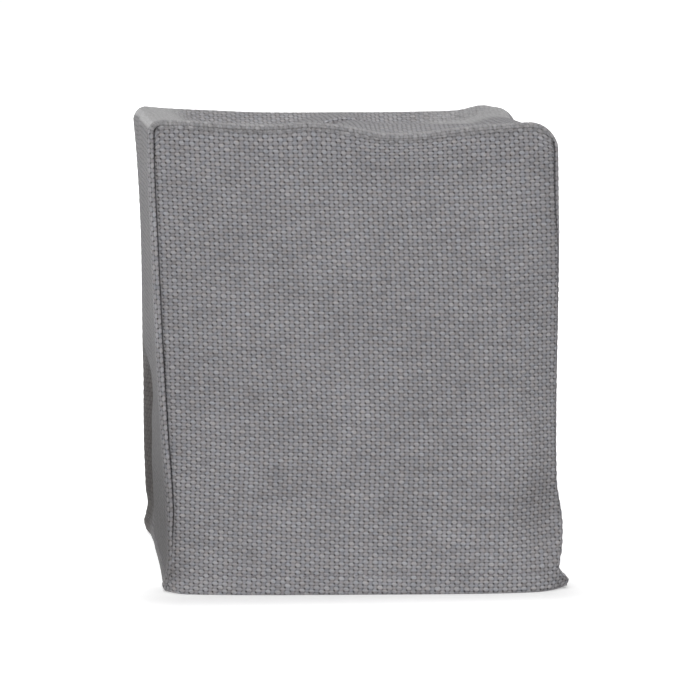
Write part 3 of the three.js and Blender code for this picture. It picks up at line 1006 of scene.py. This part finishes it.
def strip_outside(cloth, strip, seed):
    """Adds the outside of the strip, with relief beside its seams. Gives its point numbers
    and the line round the slot."""
    border = np.array(BORDER_STEPS)
    grid = yarn_steps(1, int(strip.length / WARP_PITCH) - 1, COLUMN_STEPS) * WARP_PITCH
    along = np.hstack([border, grid, strip.length - border[::-1]])[:, None]
    width = strip.edges(strip.place(along))[2]
    near = yarn_steps(0, FINE_FRONT[0], ROW_STEPS) * WEFT_PITCH
    far = yarn_steps(0, FINE_BACK[0], ROW_STEPS)[::-1] * WEFT_PITCH
    middle = np.arange(1, MIDDLE_PARTS)[None, :] / MIDDLE_PARTS
    middle = blend(near[-1], width - far[0], middle)
    w = np.hstack([near + 0 * along, middle, width - far])
    u = along / WARP_PITCH + 0 * w
    v = w / WEFT_PITCH

    # The yarns stray a little, but not at the strip's edges
    right, up = wander(seed, u, v)
    from_edge = np.minimum(np.minimum(w, width - w), np.minimum(along, strip.length - along))
    free = ramp(from_edge / STRAIGHT_EDGE)
    along = along - right * free * WARP_PITCH
    place = strip.place(along)
    front, back, width = strip.edges(place)
    w = w - up * free * WEFT_PITCH
    depth, inset = strip.across(place, w)

    # Beyond the seams the strip turns in
    roll = seam_roll(place[:, :1], -1)
    back_roll = SEAM_ROLL + 0 * roll
    tuck, tuck_inset = TUCK.T
    front_tuck = tuck[::-1] * roll
    back_tuck = tuck * back_roll
    depth = np.hstack([front[:, :1] + front_tuck, depth, back[:, -1:] - back_tuck])
    inset = np.hstack([tuck_inset[::-1] * roll, inset, tuck_inset * back_roll])
    beyond = ((0, 0), (len(TUCK), len(TUCK)))
    place, width, along, u = (np.pad(values, beyond, "edge") for values in (place, width, along, u))
    v = np.hstack([-front_tuck / WEFT_PITCH, v, v[:, -1:] + back_tuck / WEFT_PITCH])
    w = np.hstack([-front_tuck, w, width[:, -1:] + back_tuck])

    across, height = section(place, depth, inset)
    points = np.stack([across, depth, height], 2)
    fine = falling(w, *FINE_FRONT) + FINE_BACK_SHARE * falling(width - w, *FINE_BACK)
    # Fuzz, whose share also sets its painted light
    fuzz_and_painted_light = strip_fuzz_and_painted_light(place, depth, w, width)
    end = np.minimum(along, strip.length - along)
    relief = weave_relief(seed, u, v) * fine * (1 - FUZZ_FLATTENS * fuzz_and_painted_light)
    proud = np.where((w > 0) & (w < width), relief - sink(HEM_ROUND, end) - hem_dent(end), 0)
    points = points + normals_of(points) * proud[:, :, None]
    height = np.maximum(points[:, :, 2], 0)
    # Painted shade in the deep fold and at the foot of the left side
    painted_shade = strip_painted_shade(place, depth, height)
    gone = in_slot(place, across, depth, HOLE_MARGIN["outside"])
    x, y, _ = np.moveaxis(points, 2, 0)
    outside = cloth.add(x, y, height, u, v, fine, fuzz_and_painted_light, painted_shade, gone=gone)
    return outside, hole_line(outside, gone)


def strip_inside(cloth, strip, seed):
    """Adds the inside of the strip. Gives its point numbers and the line round the slot."""
    ends = np.array(STRIP_INSIDE["ends"])
    first = STRIP_INSIDE["first"]
    middle = np.linspace(first, strip.length - first, STRIP_INSIDE["along"])
    along = np.hstack([ends, middle, strip.length - ends[::-1]])[:, None]
    place = strip.place(along)
    front, back, _ = strip.edges(place)
    roll = seam_roll(place, -1)
    share = np.linspace(0, 1, STRIP_INSIDE["across"])[None, :]
    depth = blend(front + roll, back - SEAM_ROLL, share)
    across, height = section(place, depth, 0.0)
    wall = hem_thickness(height, np.minimum(depth - front, back - depth))
    thickness = np.where((place > 1) & (place < 4), top_thickness(across, depth), wall)
    thickness = np.minimum(thickness, seam_room(roll, depth - front - roll))
    angle = np.array([0, pi / 4])
    skin = np.maximum(roll - CLOTH, LEAST_SKIN)
    back_skin = SEAM_ROLL - CLOTH + 0 * place
    front_depth = front + roll - skin * np.cos(angle)
    back_depth = back - SEAM_ROLL + back_skin * np.cos(angle[::-1])
    depth = np.hstack([front_depth, depth, back_depth])
    back_inset = SEAM_ROLL - back_skin * np.sin(angle[::-1])
    inset = np.hstack([roll - skin * np.sin(angle), thickness, back_inset])
    across, height = section(place, depth, inset)
    w = strip.from_front(place, depth)
    u, v = strayed(seed, along / WARP_PITCH + 0 * w, w / WEFT_PITCH)
    gone = in_slot(place, across, depth, HOLE_MARGIN["inside"])
    inside = cloth.add(across, depth, height, u, v, gone=gone)
    return inside, hole_line(inside, gone)


def make_gusset(name, seed, material):
    strip = Strip()
    cloth = Cloth()
    outside, outer_hole = strip_outside(cloth, strip, seed)
    inside, inner_hole = strip_inside(cloth, strip, seed)
    cloth.close(outside, inside)
    slot_rim(cloth, strip, seed, outer_hole, inner_hole)
    return put_sheet(name, cloth, material)


# Stitches


def stitch_line(points, normals, size):
    """Corners of short threads laid end to end along a line on the cloth, ring by ring."""
    length = length_along(points)
    count = int(length[-1] / STITCH["pitch"])
    share = np.linspace(-1, 1, STITCH_RINGS)
    radius = size * STITCH["radius"] * np.sqrt(1 - STITCH["taper"] * share**2)
    lift = size * (STITCH["radius"] - STITCH["sink"]) - STITCH["dip"] * share**2
    angle = np.arange(STITCH_SIDES) / STITCH_SIDES * 2 * pi

    def on_line(values, at):
        return np.stack([np.interp(at, length, values[:, k]) for k in range(3)], 1)

    corners = []
    for middle in (np.arange(count) + 0.5) * length[-1] / count:
        at = middle + share * STITCH["length"] / 2
        centre = on_line(points, at)
        up = on_line(normals, at)
        up = up / np.linalg.norm(up, axis=1, keepdims=True)
        aside = np.cross(np.gradient(centre, axis=0), up)
        aside = aside / np.linalg.norm(aside, axis=1, keepdims=True)
        around = np.cos(angle)[None, :, None] * aside[:, None, :]
        around = around + np.sin(angle)[None, :, None] * up[:, None, :]
        place = (centre + up * lift[:, None])[:, None, :] + around * radius[:, None, None]
        corners.append(place.reshape(-1, 3))
    return np.vstack(corners)


def stitch_faces(start):
    """Faces of one thread whose corners begin at a number."""
    grid = start + np.arange(STITCH_RINGS * STITCH_SIDES).reshape(STITCH_RINGS, STITCH_SIDES)
    quads = corners_of(np.pad(grid, ((0, 0), (0, 1)), "wrap")).reshape(-1, 4)
    return [*quads[:, [0, 3, 2, 1]].tolist(), grid[0][::-1].tolist(), grid[-1].tolist()]


def make_stitches(name, lines, material, thickness=1.0):
    corners = np.vstack([stitch_line(*line, thickness) for line in lines])
    faces = []
    for start in range(0, len(corners), STITCH_RINGS * STITCH_SIDES):
        faces += stitch_faces(start)
    mesh = bpy.data.meshes.new(name)
    mesh.from_pydata((corners * MM).tolist(), [], faces)
    return put(name, mesh, material)


def line_on(x, depth, height, normal):
    """Points of a line on the cloth and the direction that stands out from it."""
    points = np.stack(np.broadcast_arrays(x, depth, height), 1)
    return points, np.tile(np.array(normal, float), (len(points), 1))


def hem_lines():
    """Lines of the hem's stitching on the four sides of the cover."""
    lines = []
    points = LINE_POINTS["hem"]
    height = np.full(points, HEM_HEIGHT)
    for face in (-1, 1):
        left, right, _ = panel_outline(face)
        ends = (left(HEM_HEIGHT) + PANEL_MARGIN, right(HEM_HEIGHT) - PANEL_MARGIN)
        x = np.linspace(*ends, points)
        depth = face * (cloth_out(face, x, height) - HEM_DENT["depth"])
        lines.append(line_on(x, depth, height, (0, face, 0)))
    for side, place in zip((-1, 1), HEM_PLACES):
        front, back = (float(seam_depth(np.array(place), face)) for face in (-1, 1))
        depth = np.linspace(front + STRIP_MARGIN, back - STRIP_MARGIN, points)
        x = side * (wall_out(side, depth, height) - HEM_DENT["depth"])
        lines.append(line_on(x, depth, height, (side, 0, 0)))
    return lines


def slot_lines():
    """The line of stitches that holds the turned edge of the slot."""
    x, y = slot_point(np.linspace(0, 1, LINE_POINTS["slot"]), SLOT_STITCH_INSET)
    return [line_on(x, y, top_height(x, y), (0, 0, 1))]


# Materials


class Value:
    """Output of a node, which takes part in sums and products as a number does."""

    def __init__(self, shader, socket):
        self.shader = shader
        self.socket = socket

    def __add__(self, other):
        return self.shader.math("ADD", self, other)

    def __sub__(self, other):
        return self.shader.math("SUBTRACT", self, other)

    def __rsub__(self, other):
        return self.shader.math("SUBTRACT", other, self)

    def __mul__(self, other):
        return self.shader.math("MULTIPLY", self, other)

    __radd__ = __add__
    __rmul__ = __mul__


class Shader:
    """The nodes of a material or a world, and the short calls that add to them."""

    def __init__(self, owner):
        self.owner = owner
        owner.use_nodes = True
        self.tree = owner.node_tree

    def feed(self, node, inputs):
        """Sets or links inputs of a node."""
        for name, value in inputs.items():
            socket = node.inputs[name]
            if isinstance(value, Value):
                self.tree.links.new(value.socket, socket)
            elif socket.type == "RGBA":
                socket.default_value = (*value, 1.0)
            else:
                socket.default_value = value

    def finish(self, inputs, name="Principled BSDF"):
        """Sets or links inputs of the last node, and gives the material or world."""
        self.feed(self.tree.nodes[name], inputs)
        return self.owner

    def node(self, kind, inputs, output=0, **settings):
        """One output of a new node."""
        node = self.tree.nodes.new("ShaderNode" + kind)
        for name, value in settings.items():
            setattr(node, name, value)
        self.feed(node, inputs)
        return Value(self, node.outputs[output])

    def math(self, operation, *values):
        return self.node("Math", dict(enumerate(values)), operation=operation)

    def floor(self, value):
        return self.math("FLOOR", value)

    def cosine(self, value):
        return self.math("COSINE", value)

    def step(self, value, start, end, low, high):
        """Smooth step of a value between two limits."""
        inputs = {0: value, 1: start, 2: end, 3: low, 4: high}
        return self.node("MapRange", inputs, interpolation_type="SMOOTHSTEP")

    def vector(self, x, y, z=0.0):
        return self.node("CombineXYZ", {0: x, 1: y, 2: z})

    def split(self, vector):
        """The first two parts of a vector."""
        return [self.node("SeparateXYZ", {0: vector}, output=k) for k in range(2)]

    def noise(self, x, y, share, across, along, detail):
        """Cloudy noise about zero."""
        place = self.vector(x * across, y * along)
        inputs = {"Vector": place, "Scale": 1.0, "Detail": detail, "Roughness": 0.6}
        return (self.node("TexNoise", inputs, noise_dimensions="2D") - 0.5) * share

    def cell_noise(self, x, y):
        """A new random value about zero for each place."""
        return self.node("TexWhiteNoise", {"Vector": self.vector(x, y)}, noise_dimensions="2D") - 0.5

    def attribute(self, name):
        return self.node("Attribute", {}, output="Fac", attribute_name=name)

    def mix(self, share, first, second):
        return self.node("Mix", {0: share, 6: first, 7: second}, output=2, data_type="RGBA")

    def times(self, color, factor):
        """A colour multiplied by another one or by a brightness."""
        return self.node("VectorMath", {0: color, 1: factor}, operation="MULTIPLY")

    def bump(self, height, strength, distance):
        return self.node("Bump", {"Strength": strength, "Distance": distance, "Height": height})


def gap_shade_share(shader, u, v):
    """Painted shade in the gaps where four yarns meet, deeper at every second meeting."""
    row = shader.math("ROUND", v)
    column = shader.math("ROUND", u)
    reach = square(v - row) * GAP_SHADE["row_sharpness"] + square(u - column) * GAP_SHADE["column_sharpness"]
    depth = blend(GAP_SHADE["deep"], GAP_SHADE["shallow"], shader.math("PINGPONG", row + column, 1.0))
    depth = depth + shader.cell_noise(column, row) * GAP_SHADE["spread"]
    return shader.step(shader.math("SQRT", reach), *GAP_SHADE_STEP) * depth


def cloth_material():
    """Plain weave of light level yarns over darker upright ones, drawn from the yarn counts."""
    shader = Shader(bpy.data.materials.new("coarse_weave"))
    u, v = shader.split(shader.node("UVMap", {}, uv_map="Yarns"))
    row = shader.floor(v)
    column = shader.floor(u)
    fuzz_and_painted_light = shader.attribute("fuzz_and_painted_light")
    weft, warp, row_square, column_square = yarns_at(u, v, shader.floor, shader.cosine)
    height = shader.math("MAXIMUM", weft, warp)
    on_warp = shader.step(warp - weft + shader.noise(u, v, *RAGGED), *YARN_STEP)

    # Uneven spinning, single floats that catch more or less light, and loose fibres
    fibre = blend(shader.noise(u, v, *WEFT_FIBRE), shader.noise(u, v, *WARP_FIBRE), on_warp)
    brightness = shader.noise(u, row, *SLUB) + 1.0
    brightness = brightness + shader.noise(column, v, *STREAK)
    brightness = brightness + shader.cell_noise(column, row) * FLOAT_SPREAD
    brightness = brightness + shader.noise(u, v, *CLOUD) + fibre * FIBRE_LIGHT
    # Painted shade where the yarns sink low and at their edges, where they curve away
    brightness = brightness * shader.step(height, *HOLLOW_PAINTED_SHADE_STEP)
    brightness = brightness * shader.step(1.0 - square(row_square), *FLOAT_EDGE_PAINTED_SHADE_STEP)
    brightness = brightness * shader.step(1.0 - square(column_square), *COLUMN_EDGE_PAINTED_SHADE_STEP)
    yarn = shader.times(shader.mix(on_warp, FLOAT_LIGHT, WARP_MIDDLE), brightness)
    # Painted shade in the gaps between the yarns
    color = shader.mix(gap_shade_share(shader, u, v), yarn, GAP_SHADE_COLOR)
    tint = shader.noise(u, v, *TINT)
    color = shader.times(color, shader.vector(tint + 1.0, 1.0, 1.0 - tint))

    # Fuzz over the weave with its painted light, and the painted shade of the folds
    mottle = shader.noise(u, v, *MOTTLE) + 1.0
    # Painted light: the fuzz is darker on the sides and lighter at the top corners and crests
    fuzz_with_painted_light = shader.math("MAXIMUM", brightness, FUZZ_DARKEST) * mottle * shader.step(fuzz_and_painted_light, *FUZZ_PAINTED_LIGHT_STEP)
    color = shader.mix(fuzz_and_painted_light * FUZZ_COVER, color, shader.times(FUZZ_COLOR, fuzz_with_painted_light))
    # Painted shade of the folds
    color = shader.times(color, shader.mix(shader.attribute("painted_shade"), WHITE, PAINTED_SHADE_TONE))

    # Relief where the mesh is plain, and fibres all over
    plain = shader.math("MAXIMUM", 1.0 - shader.attribute("relief") - fuzz_and_painted_light, 0.0)
    return shader.finish({
        "Base Color": color,
        "Normal": shader.bump(height * plain + fibre * FIBRE_HEIGHT, 1.0, MM),
        "Roughness": 0.92,
        "Specular IOR Level": 0.18,
        "Sheen Weight": shader.step(fuzz_and_painted_light, *SHEEN_STEP),
        "Sheen Roughness": 0.6,
    })


def thread_material():
    """Twisted sewing thread, a little darker and more purple than the cloth."""
    shader = Shader(bpy.data.materials.new("sewing_thread"))
    place = shader.node("TexCoord", {}, output="Object")
    inputs = {"Vector": place, "Scale": 900.0, "Distortion": 1.5}
    twist = shader.node("TexWave", inputs, output="Fac", bands_direction="DIAGONAL")
    dark = tuple(THREAD_DARK * part for part in THREAD_COLOR)
    return shader.finish({
        "Base Color": shader.mix(twist, dark, THREAD_COLOR),
        "Normal": shader.bump(twist, 0.5, 0.04 * MM),
        "Roughness": 0.8,
        "Specular IOR Level": 0.25,
    })


def floor_material():
    """Pale floor that glows, with a painted shadow before the foot of the cover, where it glows less.
    """
    shader = Shader(bpy.data.materials.new("pale_floor"))
    x, y = shader.split(shader.node("TexCoord", {}, output="Object"))
    # Painted shadow: the floor glows less in a strip before the foot
    aside = shader.math("MAXIMUM", shader.math("ABSOLUTE", x) - FOOT_SHADE["half"] * MM, 0.0)
    off = shader.math("SQRT", square(aside) + square(FOOT_SHADE["front"] * MM - y))
    return shader.finish({
        "Base Color": shader.mix(shader.noise(x, y, *FLOOR_CLOUD) + 0.5, *FLOOR_COLORS),
        "Emission Color": WHITE,
        "Emission Strength": shader.step(off, 0.0, FOOT_SHADE["reach"] * MM, *FLOOR_GLOW),
        "Roughness": 0.95,
        "Specular IOR Level": 0.1,
    })


def sheet_material():
    return Shader(bpy.data.materials.new("dark_sheet")).finish({"Base Color": SHEET_COLOR})


# Camera, floor and light


def look_at(thing, place, aim):
    thing.location = Vector(place) * MM
    thing.rotation_euler = (Vector(aim) - Vector(place)).to_track_quat("-Z", "Y").to_euler()


def add_camera():
    data = bpy.data.cameras.new("camera")
    for name, value in CAMERA.items():
        setattr(data, name, value)
    camera = link("camera", data)
    look_at(camera, CAMERA_PLACE, CAMERA_AIM)
    bpy.context.scene.camera = camera


def add_light(name, place, spread, strength):
    """A wide soft lamp, far away on the side of a place."""
    data = bpy.data.lights.new(name, "SUN")
    data.angle = radians(spread)
    data.energy = strength
    look_at(link(name, data), place, (0, 0, 0))


def add_plane(name, material, left, right, front, back, height):
    """A level rectangle of the stage."""
    mesh = bpy.data.meshes.new(name)
    corners = [(x * MM, y * MM, height * MM) for y in (front, back) for x in (left, right)]
    mesh.from_pydata(corners, [], [(0, 1, 3, 2)])
    mesh.materials.append(material)
    plane = link(name, mesh)
    return plane


def light_world():
    """Soft white surroundings, dimmer on the left but with a glow low there, and plain white
    behind the cover."""
    shader = Shader(bpy.data.worlds.new("studio"))
    toward = shader.node("TexCoord", {}, output="Generated")
    sky = shader.node("MapRange", dict(enumerate((shader.split(toward)[0], *SKY))))
    inputs = {0: toward, 1: LOW_LIGHT["toward"]}
    near = shader.node("VectorMath", inputs, output="Value", operation="DOT_PRODUCT")
    low = shader.node("MapRange", {0: near, 1: LOW_LIGHT["least"], 4: LOW_LIGHT["strength"]})
    seen = shader.node("LightPath", {}, output="Is Camera Ray")
    strength = blend(sky + low, BACKDROP_LIGHT, seen)
    scene = bpy.context.scene
    scene.world = shader.finish({"Color": WHITE, "Strength": strength}, "Background")
    scene.view_settings.view_transform = "Standard"


def frame_shift():
    """Move from the cover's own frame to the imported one, whose middle is the box's middle."""
    place = np.linspace(0, 5, 501)[:, None]
    across = section(place, np.linspace(-HALF_DEPTH, HALF_DEPTH, 61)[None, :], 0.0)[0]
    x = np.linspace(-HALF_WIDTH, HALF_WIDTH, 119)[:, None]
    z = np.linspace(0, HEIGHT, 136)[None, :]
    own_x = (across.min() + across.max()) / 2
    own_y = (cloth_out(1, x, z).max() - cloth_out(-1, x, z).max()) / 2
    middle = (Vector(cad_box[0]) + Vector(cad_box[1])) / 2
    middle.z = 0
    return Matrix.Translation(middle - Vector((own_x, own_y, 0)) * MM)


add_camera()
light_world()
floor = add_plane("floor", floor_material(), *FLOOR)
floor.visible_diffuse = False
# Keeps the light that comes from low on the left away from the foot of the side
dark_sheet = add_plane("dark_sheet", sheet_material(), *DARK_SHEET)
dark_sheet.visible_camera = False
for light in LIGHTS:
    add_light(*light)

shift = frame_shift()
cloth = cloth_material()
thread = thread_material()
front = make_panel("front_cloth", -1, 11, cloth)
back = make_panel("back_cloth", 1, 23, cloth)
gusset = make_gusset("gusset_cloth", 37, cloth)
hem = make_stitches("hem_stitches", hem_lines(), thread)
slot = make_stitches("slot_stitches", slot_lines(), thread, SLOT_THREAD)
for piece, node in ((front, "front_panel"), (back, "back_panel"), (gusset, "gusset")):
    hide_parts(node)
for piece in (front, back, gusset, hem, slot):
    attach(piece, "root")
